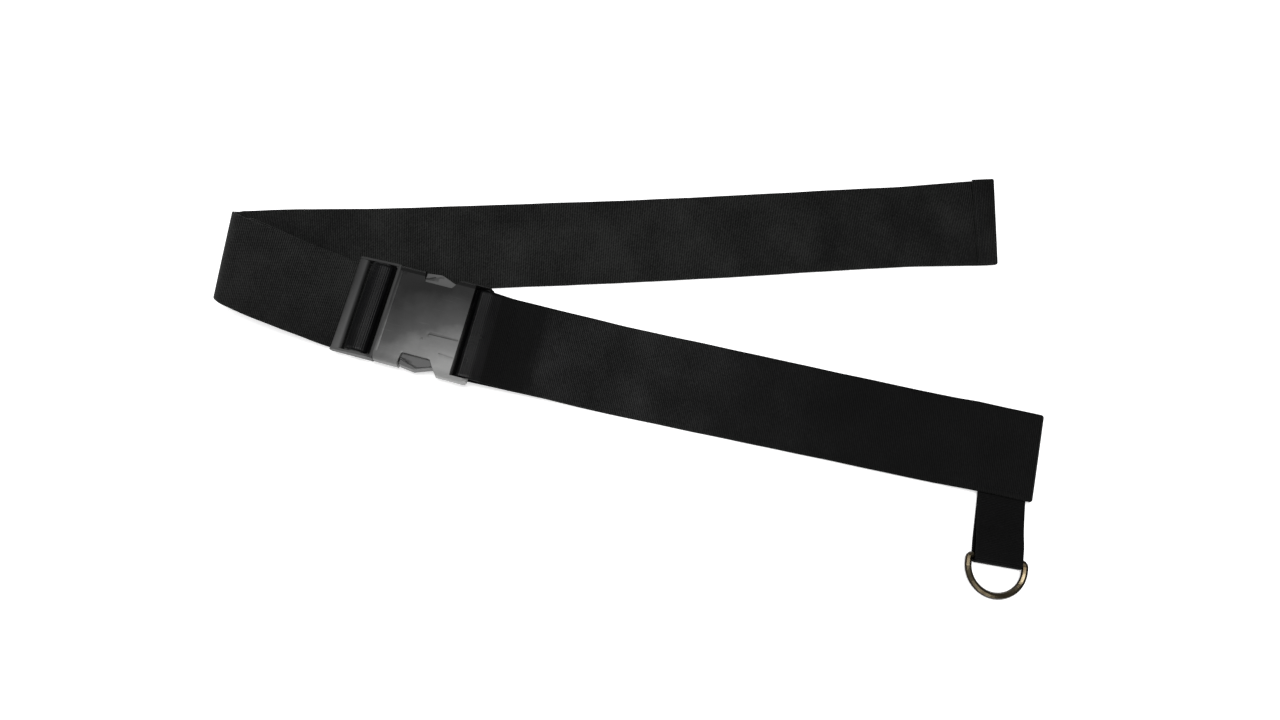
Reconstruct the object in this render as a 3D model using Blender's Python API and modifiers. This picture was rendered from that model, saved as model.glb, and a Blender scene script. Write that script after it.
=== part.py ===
"""Gait belt: a buckled loop of 50 mm webbing lying flat, with a side-release buckle, a ladder adjuster in
its male half, a free tail with a sewn hem, and a D-ring on a sewn tab at the fold.

Design frame: +X runs along the buckle from its male to its female half, with x = 0 at the female mouth,
y = 0 on the buckle's centre line, and z = 0 on the surface that the belt lies on. The whole belt is then
moved so that the world origin is the bottom centre of its bounding box.
"""

import math

import bmesh
import bpy
import numpy as np
from mathutils import Matrix, Vector

MM = 0.001

# Webbing
WEB_WIDTH = 50 * MM
WEB_THICK = 1.4 * MM
LAYER = 1.7 * MM  # from the middle of one webbing layer to the next, with 0.3 mm between them
LOAD_Z = 5.4 * MM  # middle of the load strand where it enters the adjuster
FLOOR_Z = WEB_THICK / 2  # middle of a layer that lies on the surface
ARC_STEP = math.radians(15)  # turn between two rows of a webbing bend

# Buckle, in plan
BUCKLE_Z = 11.4 * MM  # mid-plane of both buckle halves
SHELL_THICK = 13 * MM
MOUTH_HALF = 27 * MM
EAR_HALF = 27.5 * MM
SHELL_END = 51.4 * MM
SIDE_ROUND = 4 * MM
EAR_ROUND = 6.5 * MM  # rounding of the ears' ends, seen from the side
NOTCH_FLOOR = 20.3 * MM
NOTCH_X = (12.7 * MM, 14.3 * MM, 29.3 * MM, 33.6 * MM)  # mouth edge, floor start, floor end, mouth edge
POCKET_HALF = 25 * MM
POCKET_END = 35.5 * MM
POCKET_HEIGHT = 8.8 * MM
WEB_SLOT_HALF = 25.7 * MM  # half the clear width that both halves leave for the webbing
SLOT_START = 41.4 * MM
BAR_X = 48.2 * MM
BAR_RADIUS = 2.6 * MM
RUN = 0.3 * MM  # gap kept between touching pieces

# Male half
FRAME_END = -24 * MM
CROSSBAR_WIDTH = 5.6 * MM
CROSSBAR_Z = (8.4 * MM, 12.4 * MM)
MIDDLE_BAR_X = (-14.2 * MM, -6.2 * MM)
MIDDLE_BAR_THICK = 4.4 * MM
YOKE_X = (-2.2 * MM, 2.0 * MM)
YOKE_HEIGHT = 8.2 * MM
GUSSET = 1.7 * MM
TONGUE_END = 29 * MM
TONGUE_HALF = 7.5 * MM
TONGUE_THICK = 6.4 * MM
PRONG_THICK = 7.8 * MM
PRONG_PIVOT = (2.2 * MM, 18 * MM)

# D-ring and its tab
TAB_WIDTH = 26.4 * MM
TAB_THICK = 1.1 * MM
TAB_LEAN = 0.076  # sideways run of the tab for each unit of its length
TAB_TOP_Y = 34.8 * MM
WIRE_RADIUS = 1.9 * MM
RING_RADIUS = 15.4 * MM  # of the ring's wire line
RING_SIDE = 4.1 * MM  # straight run from the bar to the round part
RING_BAR_Y = -45.3 * MM
RING_BAR_Z = 3.35 * MM
RING_FAR_Z = 1.95 * MM

THREAD_RADIUS = 0.4 * MM
SEAM_MARGIN = 2.5 * MM

FRONT_BEND = (125, 4.0)  # where the front strap's plan slope eases, in millimetres
FRONT_SLOPE = 0.0415  # plan slope of the front strap beyond that
FRONT_PSI = 92.6  # plan direction across the front strap, in degrees
FOLD_X = 360.3 * MM
SPLIT_X = 325 * MM  # where the female half's webbing hands over to the male half's


def clear_scene():
    for obj in list(bpy.data.objects):
        bpy.data.objects.remove(obj, do_unlink=True)


def new_collection(name, hidden=False):
    collection = bpy.data.collections.new(name)
    collection.hide_render = hidden
    bpy.context.scene.collection.children.link(collection)
    return collection


def material(name, colour, roughness, metallic=0.0):
    made = bpy.data.materials.new(name)
    made.use_nodes = True
    shader = made.node_tree.nodes["Principled BSDF"]
    shader.inputs["Base Color"].default_value = (*colour, 1.0)
    shader.inputs["Roughness"].default_value = roughness
    shader.inputs["Metallic"].default_value = metallic
    return made


def add_object(name, data, collection, finish=None):
    obj = bpy.data.objects.new(name, data)
    collection.objects.link(obj)
    if finish:
        data.materials.clear()
        data.materials.append(finish)
    return obj


def as_helper(obj):
    obj.hide_render = True
    obj.display_type = "WIRE"
    return obj


def shade(mesh, angle=35):
    mesh.shade_smooth()
    mesh.set_sharp_from_angle(angle=math.radians(angle))


# ---------------------------------------------------------------- routes and outlines


def corner_arc(before, corner, after, radius, step):
    """Points of the arc that rounds a corner, from the leg before it to the leg after it."""
    to_before = (before - corner).normalized()
    to_after = (after - corner).normalized()
    half = to_before.angle(to_after) / 2
    turn = math.pi - 2 * half
    if radius <= 0 or turn < 1e-4:
        return [corner]
    cut = radius / math.tan(half)
    centre = corner + (to_before + to_after).normalized() * (radius / math.sin(half))
    start = corner + to_before * cut - centre
    axis = start.cross(corner + to_after * cut - centre).normalized()
    steps = max(2, math.ceil(turn / step))
    return [centre + Matrix.Rotation(turn * n / steps, 3, axis) @ start for n in range(steps + 1)]


def rounded_route(stations, step=ARC_STEP):
    """Points and their cross angles in degrees along stations (x, y, z, radius, angle) in millimetres."""
    corners = [Vector(station[:3]) * MM for station in stations]
    points, owners = [], []
    for n, station in enumerate(stations):
        inner = 0 < n < len(stations) - 1
        if inner:
            arc = corner_arc(corners[n - 1], corners[n], corners[n + 1], station[3] * MM, step)
        else:
            arc = [corners[n]]
        points += arc
        owners += [n] * len(arc)
    lengths = np.cumsum([0] + [(b - a).length for a, b in zip(points, points[1:])])
    reached = [[s for s, owner in zip(lengths, owners) if owner == n] for n in range(len(stations))]
    middles = [np.mean(group) for group in reached]
    return points, np.interp(lengths, middles, [station[4] for station in stations])


def rounded_outline(corners, step=math.radians(30)):
    """Closed outline through corners (x, y, radius) in metres."""
    flat = [Vector((x, y, 0)) for x, y, _ in corners]
    outline = []
    for n, (_, _, radius) in enumerate(corners):
        outline += corner_arc(flat[n - 1], flat[n], flat[(n + 1) % len(flat)], radius, step)
    return [(p.x, p.y) for p in outline]


def mirrored(half):
    """A whole outline from the corners of its y > 0 half."""
    return half + [(x, -y, radius) for x, y, radius in reversed(half)]


# ---------------------------------------------------------------- makers


def strap(name, stations, width, thickness, collection, finish):
    """A flat band of webbing that follows the stations: an open sheet, thickened evenly to both sides."""
    points, angles = rounded_route(stations)
    mesh = bpy.data.meshes.new(name)
    bm = bmesh.new()
    bmesh.ops.create_grid(bm, x_segments=1, y_segments=len(points) - 1, size=1)
    for vert in bm.verts:
        row = round((vert.co.y + 1) / 2 * (len(points) - 1))
        angle = math.radians(angles[row])
        across = Vector((math.cos(angle), math.sin(angle), 0))
        vert.co = points[row] + across * (vert.co.x * width / 2)
    bm.to_mesh(mesh)
    bm.free()
    obj = add_object(name, mesh, collection, finish)
    solid = obj.modifiers.new("thickness", "SOLIDIFY")
    solid.thickness = thickness
    solid.offset = 0
    solid.use_even_offset = True
    shade(mesh)
    return obj


def mesh_from_curve(name, curve, matrix, collection, finish=None):
    """The curve as a closed mesh object, with its caps welded."""
    guide = bpy.data.objects.new(name + "_guide", curve)
    bpy.context.scene.collection.objects.link(guide)
    guide.matrix_world = matrix
    bpy.context.view_layer.update()
    evaluated = guide.evaluated_get(bpy.context.evaluated_depsgraph_get())
    mesh = bpy.data.meshes.new_from_object(evaluated)
    mesh.name = name
    bm = bmesh.new()
    bm.from_mesh(mesh)
    bmesh.ops.remove_doubles(bm, verts=bm.verts, dist=1e-6)
    bmesh.ops.recalc_face_normals(bm, faces=bm.faces)
    bm.to_mesh(mesh)
    bm.free()
    bpy.data.objects.remove(guide, do_unlink=True)
    bpy.data.curves.remove(curve)
    obj = add_object(name, mesh, collection, finish)
    obj.matrix_world = matrix
    return obj


def prism(name, outline, low, high, collection, finish=None, matrix=None):
    """A flat outline extruded from low to high along its own z."""
    curve = bpy.data.curves.new(name, "CURVE")
    curve.dimensions = "2D"
    curve.fill_mode = "BOTH"
    curve.extrude = (high - low) / 2
    spline = curve.splines.new("POLY")
    spline.points.add(len(outline) - 1)
    for point, (x, y) in zip(spline.points, outline):
        point.co = (x, y, 0, 1)
    spline.use_cyclic_u = True
    place = (matrix or Matrix()) @ Matrix.Translation((0, 0, (low + high) / 2))
    return mesh_from_curve(name, curve, place, collection, finish)


def box(name, low, high, collection, finish=None):
    mesh = bpy.data.meshes.new(name)
    bm = bmesh.new()
    bmesh.ops.create_cube(bm, size=1)
    size = Vector(high) - Vector(low)
    bmesh.ops.scale(bm, vec=size, verts=bm.verts)
    bm.to_mesh(mesh)
    bm.free()
    obj = add_object(name, mesh, collection, finish)
    obj.location = (Vector(high) + Vector(low)) / 2
    return obj


def bevel(obj, width, segments=2, angle=40):
    made = obj.modifiers.new("rounded_edges", "BEVEL")
    made.width = width
    made.segments = segments
    made.limit_method = "ANGLE"
    made.angle_limit = math.radians(angle)


def combine(obj, operation, other):
    made = obj.modifiers.new(other.name, "BOOLEAN")
    made.operation = operation
    made.solver = "EXACT"
    made.object = as_helper(other)


def wire(name, points, radius, collection, finish, cyclic=False):
    curve = bpy.data.curves.new(name, "CURVE")
    curve.dimensions = "3D"
    curve.bevel_depth = radius
    curve.bevel_resolution = 2
    curve.use_fill_caps = not cyclic
    spline = curve.splines.new("POLY")
    spline.points.add(len(points) - 1)
    for point, place in zip(spline.points, points):
        point.co = (*place, 1)
    spline.use_cyclic_u = cyclic
    return add_object(name, curve, collection, finish)


# ---------------------------------------------------------------- buckle


def female_body(parts, cutters, finish):
    """Flat shell with an open mouth, release notches, ears, and the bar that the webbing is sewn round."""
    mouth, floor_start, floor_end, notch_end = NOTCH_X
    outside = EAR_HALF + 1 * MM
    half = [
        (0, outside, 0),
        (mouth, outside, 0),
        (floor_start, NOTCH_FLOOR, 0.9 * MM),
        (floor_end, NOTCH_FLOOR, 0.9 * MM),
        (notch_end, EAR_HALF - 0.4 * MM, 1.2 * MM),
        (notch_end + 3 * MM, EAR_HALF, 4 * MM),
        (SHELL_END, EAR_HALF, 4.5 * MM),
    ]
    low, high = BUCKLE_Z - SHELL_THICK / 2, BUCKLE_Z + SHELL_THICK / 2
    outline = rounded_outline(mirrored(half))
    shell = prism("buckle_female_body", outline, low, high, parts, finish)
    bevel(shell, 0.6 * MM)
    section = [(-EAR_HALF, low), (EAR_HALF, low), (EAR_HALF, high), (-EAR_HALF, high)]
    section = rounded_outline([(y, z, SIDE_ROUND) for y, z in section], math.radians(22.5))
    along_x = Matrix(((0, 0, 1, 0), (1, 0, 0, 0), (0, 1, 0, 0), (0, 0, 0, 1)))
    over = 2 * MM
    slab = prism("rounded_slab", section, -over, SHELL_END + over, cutters, matrix=along_x)
    for vert in slab.data.vertices:
        if vert.co.z < 0:
            vert.co.x *= (MOUTH_HALF - 0.1 * MM) / EAR_HALF
    combine(shell, "INTERSECT", slab)
    slack = 0.05 * MM
    ends = [
        (-over, low - over, 0),
        (SHELL_END - EAR_ROUND, low - over, 0),
        (SHELL_END - EAR_ROUND, low - slack, 0),
        (SHELL_END + 2 * slack, low - slack, EAR_ROUND),
        (SHELL_END + 2 * slack, high + slack, EAR_ROUND),
        (SHELL_END - EAR_ROUND, high + slack, 0),
        (SHELL_END - EAR_ROUND, high + over, 0),
        (-over, high + over, 0),
    ]
    wide = EAR_HALF + over
    rounding = side_profile("ear_rounding", rounded_outline(ends), -wide, wide, cutters)
    combine(shell, "INTERSECT", rounding)
    pocket = box(
        "pocket",
        (-over, -POCKET_HALF, BUCKLE_Z - POCKET_HEIGHT / 2),
        (POCKET_END, POCKET_HALF, BUCKLE_Z + POCKET_HEIGHT / 2),
        cutters,
    )
    combine(shell, "DIFFERENCE", pocket)
    slot = box(
        "webbing_slot",
        (SLOT_START, -WEB_SLOT_HALF, low - over),
        (SHELL_END + over, WEB_SLOT_HALF, high + over),
        cutters,
    )
    combine(shell, "DIFFERENCE", slot)
    bar_mesh = bpy.data.meshes.new("sewing_bar")
    bm = bmesh.new()
    bmesh.ops.create_cone(
        bm,
        cap_ends=True,
        segments=16,
        radius1=BAR_RADIUS,
        radius2=BAR_RADIUS,
        depth=2 * WEB_SLOT_HALF + 1.6 * MM,
    )
    bm.to_mesh(bar_mesh)
    bm.free()
    bar = add_object("sewing_bar", bar_mesh, cutters)
    bar.location = (BAR_X, 0, BUCKLE_Z)
    bar.rotation_euler = (math.radians(90), 0, 0)
    combine(shell, "UNION", bar)
    shade(shell.data)
    return shell


def side_profile(name, outline, y_low, y_high, collection):
    """A prism whose outline lies in the XZ plane and which runs from y_low to y_high."""
    turn = Matrix.Rotation(math.radians(90), 4, "X")
    return prism(name, outline, -y_high, -y_low, collection, matrix=turn)


def bar_profile(x_low, x_high, z_low, z_high, radius):
    corners = [(x_low, z_low), (x_low, z_high), (x_high, z_high), (x_high, z_low)]
    return rounded_outline([(x, z, radius) for x, z in corners])


def male_frame(parts, cutters, finish):
    """Ladder frame for the webbing, with the yoke and tongue that enter the female half."""
    slot = WEB_SLOT_HALF
    yoke_low, yoke_high = BUCKLE_Z - YOKE_HEIGHT / 2, BUCKLE_Z + YOKE_HEIGHT / 2
    frame = box(
        "buckle_male_frame",
        (YOKE_X[0], -MOUTH_HALF, yoke_low),
        (-RUN, MOUTH_HALF, yoke_high),
        parts,
        finish,
    )
    bevel(frame, 0.5 * MM)
    inset = 0.1 * MM
    cross_low, cross_high = CROSSBAR_Z
    rail_outline = rounded_outline(
        [
            (FRAME_END, cross_low - inset, 1.4 * MM),
            (FRAME_END, cross_high + inset, 1.4 * MM),
            (YOKE_X[0] - 2 * MM, yoke_high - 0.4 * MM, 2 * MM),
            (YOKE_X[0] + 1 * MM, yoke_high - 0.3 * MM, 0),
            (YOKE_X[0] + 1 * MM, yoke_low + 0.3 * MM, 0),
            (YOKE_X[0] - 2 * MM, yoke_low + 0.4 * MM, 2 * MM),
        ]
    )
    rail_half = MOUTH_HALF - inset
    for side, y_low in (("upper", slot), ("lower", -rail_half)):
        y_high = y_low + rail_half - slot
        combine(frame, "UNION", side_profile(f"rail_{side}", rail_outline, y_low, y_high, cutters))
    reach = slot + 0.8 * MM
    cross_x = FRAME_END + inset
    crossbar = bar_profile(cross_x, cross_x + CROSSBAR_WIDTH, cross_low, cross_high, 1.7 * MM)
    combine(frame, "UNION", side_profile("crossbar", crossbar, -reach, reach, cutters))
    bar_low, bar_high = BUCKLE_Z - MIDDLE_BAR_THICK / 2, BUCKLE_Z + MIDDLE_BAR_THICK / 2
    middle = bar_profile(*MIDDLE_BAR_X, bar_low, bar_high, 2 * MM)
    combine(frame, "UNION", side_profile("middle_bar", middle, -reach, reach, cutters))
    inside = POCKET_HALF - RUN
    yoke_x = YOKE_X[0] + 0.6 * MM
    yoke = box("yoke", (yoke_x, -inside, yoke_low + inset), (YOKE_X[1], inside, yoke_high - inset), cutters)
    combine(frame, "UNION", yoke)
    tongue_outline = rounded_outline(
        mirrored([(YOKE_X[1] - 1 * MM, TONGUE_HALF, 0), (TONGUE_END, TONGUE_HALF - 2 * MM, 1.5 * MM)])
    )
    half_thick = TONGUE_THICK / 2
    tongue = prism("tongue", tongue_outline, BUCKLE_Z - half_thick, BUCKLE_Z + half_thick, cutters)
    combine(frame, "UNION", tongue)
    gusset_x = YOKE_X[0] + 0.45 * MM
    gusset_y = slot + 0.55 * MM
    for side, sign in (("upper", 1), ("lower", -1)):
        corner = [
            (gusset_x, sign * gusset_y),
            (YOKE_X[0] - GUSSET, sign * gusset_y),
            (gusset_x, sign * (slot - GUSSET)),
        ]
        gusset = prism(f"gusset_{side}", corner, yoke_low + 1.2 * MM, yoke_high - 1.2 * MM, cutters)
        combine(frame, "UNION", gusset)
    shade(frame.data)
    return frame


def prong(name, sign, parts, cutters, finish):
    """Spring arm with a barbed press pad. Its origin is on the axis that it flexes about."""
    pivot_x, pivot_y = PRONG_PIVOT
    arm_in, arm_out = -2.6 * MM, 1.4 * MM  # the arm's sides, from the pivot's line
    root_x = YOKE_X[1] + RUN - pivot_x
    shoulder_x = NOTCH_X[0] + 1.1 * MM - pivot_x
    outline = rounded_outline(
        [
            (root_x, arm_in, 0),
            (27 * MM - pivot_x, arm_in - 0.6 * MM, 3 * MM),
            (33.6 * MM - pivot_x, 19 * MM - pivot_y, 1.5 * MM),
            (31.5 * MM - pivot_x, 23.6 * MM - pivot_y, 1.5 * MM),
            (22 * MM - pivot_x, 27.2 * MM - pivot_y, 2 * MM),
            (shoulder_x, 26.2 * MM - pivot_y, 0.6 * MM),
            (shoulder_x, arm_out, 0.8 * MM),
            (root_x, arm_out, 0),
        ]
    )
    half = PRONG_THICK / 2
    made = prism(name, outline, -half, half, parts, finish)
    bevel(made, 0.4 * MM)
    crease = [
        (shoulder_x - 2 * MM, 12 * MM),
        (shoulder_x - 2 * MM, 4.6 * MM),
        (22.5 * MM - pivot_x, 8.2 * MM),
        (33 * MM - pivot_x, 4.6 * MM),
        (33 * MM - pivot_x, 12 * MM),
    ]
    step = prism(name + "_step", crease, half - 1.2 * MM, half + 2 * MM, cutters)
    if sign < 0:
        for obj in (made, step):
            obj.data.transform(Matrix.Scale(-1, 4, (0, 1, 0)))
            obj.data.flip_normals()
    combine(made, "DIFFERENCE", step)
    shade(made.data)
    made.location += Vector((pivot_x, sign * pivot_y, BUCKLE_Z))
    step.location += Vector((pivot_x, sign * pivot_y, BUCKLE_Z))
    return made


# ---------------------------------------------------------------- webbing routes


def front_y(x):
    """Centre line of the front strap in plan, in millimetres."""
    bend_x, bend_y = FRONT_BEND
    bar_x = BAR_X / MM
    slope = FRONT_SLOPE if x > bend_x else bend_y / (bend_x - bar_x)
    return bend_y + slope * (x - bend_x)


def front_stations():
    """Sewn loop round the female bar, the front strap, the fold at its far end and a short return."""
    fold, layer = FOLD_X / MM, FLOOR_Z / MM
    bar_z, wrap = BUCKLE_Z / MM, BAR_RADIUS / MM + 1.0
    slot_x = BAR_X / MM - wrap
    plain = FRONT_PSI
    route = [
        (88, 5.15, 0, plain),
        (64, 7.6, 15, plain),
        (54, bar_z - wrap, 10, 91),
        (slot_x, bar_z - wrap, wrap, 90),
        (slot_x, bar_z + wrap, wrap, 90),
        (53.5, bar_z + wrap, 6, 91),
        (63.5, 9.9, 12, plain),
        (86, 7.1, 60, plain),
        (125, layer + 1.7, 120, plain),
        (306, layer + 1.7, 30, plain),
        (325, 5.2, 30, plain),
        (fold, 5.2, 2.24, 90),
        (fold, layer, 2.24, 90),
        (SPLIT_X / MM, layer, 0, 90.5),
    ]
    last = len(route) - 1
    return [
        (x, front_y(x) + (1.2 if n >= last - 1 else 0), z, radius, psi)
        for n, (x, z, radius, psi) in enumerate(route)
    ]


def back_stations():
    """Layer under the front strap and the buckle, the inner left fold, and the strand to the adjuster."""
    floor, over_tail = FLOOR_Z / MM, (FLOOR_Z + LAYER) / MM
    load = LOAD_Z / MM
    return [
        (SPLIT_X / MM - 0.3, front_y(325) + 1.2, floor, 0, 90.5),
        (290, front_y(290) + 0.5, floor, 400, FRONT_PSI),
        (125, 3.7, floor, 400, FRONT_PSI),
        (75, 2.9, floor, 100, 91.5),
        (38, 2.2, over_tail, 100, 91),
        (-22, 1.9, over_tail, 200, 91.5),
        (-57, 4.0, over_tail, 120, 95),
        (-84.6, 7.8, over_tail, 6, 98),
        (-84.6, 6.9, 16.2, 6.4, 98),
        (-64, 3.4, 15.6, 30, 96),
        (-36, 0.8, load, 50, 92),
        (-25.5, 0.2, load, 0, 90.5),
    ]


def tail_stations():
    """Through the adjuster, out under its crossbar, round the outer left fold, and along to the hem."""
    floor = FLOOR_Z / MM
    load = LOAD_Z / MM
    under_bar = load + LAYER / MM
    wrap = WEB_THICK / MM / 2 + 0.35
    inner_x = MIDDLE_BAR_X[1] / MM + wrap
    outer_x = MIDDLE_BAR_X[0] / MM - wrap
    over_bar = (BUCKLE_Z + MIDDLE_BAR_THICK / 2) / MM + wrap
    return [
        (-25.2, 0.2, load, 0, 90.5),
        (inner_x, 0, load, 2.2, 90),
        (inner_x, 0, over_bar, 1.8, 90),
        (outer_x, 0, over_bar, 1.8, 90),
        (outer_x, 0, under_bar, 1.3, 90),
        (-26, 0, under_bar, 20, 90.3),
        (-50, 0.6, 15.4, 60, 91.5),
        (-72, 2.0, 21.6, 28, 95.5),
        (-92.6, 5.2, 21.9, 10, 98.2),
        (-92.4, 14.4, floor, 10, 98.6),
        (-61.4, 24.2, floor, 60, 105.2),
        (-18.5, 36.5, floor, 300, 107.5),
        (110.4, 78.0, floor, 900, 108.2),
        (300, 141.7, floor, 200, 108.4),
        (317.9, 147.7, floor, 0.9, 101),
        (317.9, 147.9, floor + 1.8, 0.9, 101),
        (306.3, 144.9, floor + 1.8, 0, 102.8),
    ]


def tab_x(y):
    """Centre of the tab at a height y in plan, in millimetres."""
    return 345.1 - TAB_LEAN * (y + 13.7)


def tab_stations():
    """Two layers between the front strap and its return, and the loop that holds the ring's bar."""
    top = TAB_TOP_Y / MM
    psi = math.degrees(math.atan(TAB_LEAN))
    route = [
        (top, 3.65, 0),
        (-14.2, 3.65, 20),
        (-37.2, 6.1, 20),
        (-48.6, 6.1, 2.7),
        (-48.6, 0.6, 2.7),
        (-37.2, 0.6, 20),
        (-14.7, 2.28, 15),
        (top, 2.28, 0),
    ]
    return [(tab_x(y), y, z, radius, psi) for y, z, radius in route]


def d_ring(parts, finish):
    """Welded wire ring: a straight bar held by the tab, two short sides and a half circle."""
    count, corner = 24, 2 * MM
    turns = [math.pi * n / count for n in range(count + 1)]
    half_circle = [
        (RING_RADIUS * math.cos(turn), -RING_SIDE - RING_RADIUS * math.sin(turn), 0) for turn in turns
    ]
    corners = [(RING_RADIUS, 0, corner), *half_circle, (-RING_RADIUS, 0, corner)]
    points = [Vector((x, y, 0)) for x, y in rounded_outline(corners)]
    ring = wire("d_ring", points, WIRE_RADIUS, parts, finish, cyclic=True)
    fall = math.asin((RING_BAR_Z - RING_FAR_Z) / (RING_SIDE + RING_RADIUS))
    ring.location = (tab_x(RING_BAR_Y / MM) * MM, RING_BAR_Y, RING_BAR_Z)
    ring.rotation_euler = (fall, 0, math.atan(TAB_LEAN))
    return ring


# ---------------------------------------------------------------- seams


def seam(name, centre, psi, half_length, parts, finish):
    """One row of sewing thread lying across the webbing, as a straight run of thread on its face."""
    across = Vector((math.cos(math.radians(psi)), math.sin(math.radians(psi)), 0))
    middle = Vector(centre) * MM
    points = [middle + across * half_length * t for t in (-1, -0.5, 0, 0.5, 1)]
    return wire(name, points, THREAD_RADIUS, parts, finish)


def seams(parts, finish):
    clear = (WEB_THICK / 2 + RUN + THREAD_RADIUS) / MM
    across = WEB_WIDTH / 2 - SEAM_MARGIN
    tab_across = TAB_WIDTH / 2 - 1.5 * MM
    far, near = 80.5, 65
    tab_psi = math.degrees(math.atan(TAB_LEAN))
    hem_z = FLOOR_Z / MM + 1.8
    tab_clear = (TAB_THICK / 2 + RUN + THREAD_RADIUS) / MM
    return [
        seam("seam_loop_far", (far, front_y(far), 7.8 + clear), FRONT_PSI, across, parts, finish),
        seam("seam_loop_near", (near, front_y(near), 9.8 + clear), FRONT_PSI, across, parts, finish),
        seam("seam_hem", (309.3, 145.4, hem_z + clear), 102.5, across, parts, finish),
        seam("seam_tab_belt", (345, front_y(345) - 21.5, 5.3 + clear), 2.6, tab_across, parts, finish),
        seam("seam_tab_edge", (tab_x(-16.2), -16.2, 3.93 + tab_clear), tab_psi, tab_across, parts, finish),
    ]


# ---------------------------------------------------------------- the belt


def stand_on_origin(nodes):
    """Parents every node to one empty, moved so that the world origin is the belt's bottom centre."""
    bpy.context.view_layer.update()
    graph = bpy.context.evaluated_depsgraph_get()
    corners = []
    for node in nodes:
        evaluated = node.evaluated_get(graph)
        mesh = evaluated.to_mesh()
        corners += [node.matrix_world @ vert.co for vert in mesh.vertices]
        evaluated.to_mesh_clear()
    corners = np.array(corners)
    low, high = corners.min(axis=0), corners.max(axis=0)
    origin = bpy.data.objects.new("belt_origin", None)
    bpy.context.scene.collection.objects.link(origin)
    for obj in list(bpy.data.objects):
        if obj is not origin and obj.parent is None:
            obj.parent = origin
    middle = (low + high) / 2
    origin.location = (-middle[0], -middle[1], -low[2])


def main():
    clear_scene()
    parts = new_collection("gait_belt")
    cutters = new_collection("cutters", hidden=True)
    webbing = material("black_webbing", (0.012, 0.012, 0.014), 0.62)
    tab_webbing = material("black_tab_webbing", (0.010, 0.010, 0.011), 0.7)
    plastic = material("dark_grey_plastic", (0.055, 0.056, 0.058), 0.42)
    prong_plastic = material("grey_prong_plastic", (0.075, 0.076, 0.078), 0.45)
    nickel = material("nickel_wire", (0.62, 0.56, 0.47), 0.22, 1.0)
    thread = material("black_thread", (0.016, 0.016, 0.018), 0.55)
    nodes = [
        female_body(parts, cutters, plastic),
        male_frame(parts, cutters, plastic),
        prong("buckle_prong_upper", 1, parts, cutters, prong_plastic),
        prong("buckle_prong_lower", -1, parts, cutters, prong_plastic),
        strap("webbing_front", front_stations(), WEB_WIDTH, WEB_THICK, parts, webbing),
        strap("webbing_back", back_stations(), WEB_WIDTH, WEB_THICK, parts, webbing),
        strap("webbing_tail", tail_stations(), WEB_WIDTH, WEB_THICK, parts, webbing),
        strap("d_ring_tab", tab_stations(), TAB_WIDTH, TAB_THICK, parts, tab_webbing),
        d_ring(parts, nickel),
    ]
    nodes += seams(parts, thread)
    stand_on_origin(nodes)


main()
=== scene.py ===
"""Looks of the gait belt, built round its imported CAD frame: woven webbing with real ribs and selvedges,
sewn seams, a satin side-release buckle and a plated D-ring."""

import math

import bmesh
import bpy
import numpy as np
from mathutils import Matrix, Vector


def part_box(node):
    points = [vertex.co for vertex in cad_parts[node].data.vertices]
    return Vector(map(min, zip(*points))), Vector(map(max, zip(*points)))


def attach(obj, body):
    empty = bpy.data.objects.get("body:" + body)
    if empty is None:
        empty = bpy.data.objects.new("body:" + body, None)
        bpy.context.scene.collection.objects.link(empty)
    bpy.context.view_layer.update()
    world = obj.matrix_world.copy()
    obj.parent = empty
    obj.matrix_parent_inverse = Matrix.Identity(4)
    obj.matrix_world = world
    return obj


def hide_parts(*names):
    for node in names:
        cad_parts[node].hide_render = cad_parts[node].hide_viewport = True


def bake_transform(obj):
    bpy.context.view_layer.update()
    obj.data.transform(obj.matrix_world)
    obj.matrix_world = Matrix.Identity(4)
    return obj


MM = 0.001

# Webbing and thread
WEB_WIDTH = 50 * MM
WEB_THICK = 1.4 * MM
RIB_PITCH = 1.0 * MM
RIB_HEIGHT = 0.045 * MM
YARN_PITCH = 0.9 * MM
TAB_WIDTH = 26.4 * MM
TAB_THICK = 1.1 * MM
TAB_RIB_PITCH = 0.9 * MM
TAB_RIB_HEIGHT = 0.035 * MM
TAB_YARN_PITCH = 0.7 * MM
SELVEDGE_SWAY = 0.10 * MM
STITCH_PITCH = 2.9 * MM
STITCH_RISE = 0.3 * MM
THREAD_RADIUS = 0.26 * MM
ROWS_PER_RIB = 4
ARC_STEP = math.radians(4)

# Places that the routes share with the CAD, in millimetres (X and Y from the middle of the socket's mouth,
# Z from the surface) and degrees
FLOOR = 0.7  # middle of the lowest layer
LAYER = 1.7  # height from one layer to the next
LOAD = 5.4  # height at which the strap enters the adjuster
BUCKLE_Z = 11.4  # middle of the buckle's height
SOCKET_HALF = 6.5  # half the socket's height
BAR_X = 48.2  # the socket's bar
BAR_RADIUS = 2.6
MIDDLE_BAR = (-14.2, -6.2)  # the adjuster's middle bar, from and to
MIDDLE_THICK = 4.4
FOLD_X = 361.2  # the right fold
FOLD_SHIFT = 1.2  # sideways, of the layer below the right fold
SPLIT_X = 325.0  # where the front strap's return meets the under strap
SPLIT_GAP = 0.02
FRONT_PSI = 92.6  # direction across the front strap
FRONT_BEND = (125.0, 4.0)
FRONT_SLOPE = 0.0415  # past the bend
HEM_LAYER = 1.8  # height of the hem's turned part above the tail
TAB_LEAN = 0.076
TAB_PSI = math.degrees(math.atan(TAB_LEAN))
TAB_TOP = 34.8  # the tab's ends, between the belt's layers

# Stitch rows across the front strap's loop, and where the glossy, shade-painted cloth drawn tight over the
# bar ends
LOOP_FAR_X = 80.5
LOOP_NEAR_X = 65
TIGHT_SHADE_TO_X = 56.0

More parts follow.
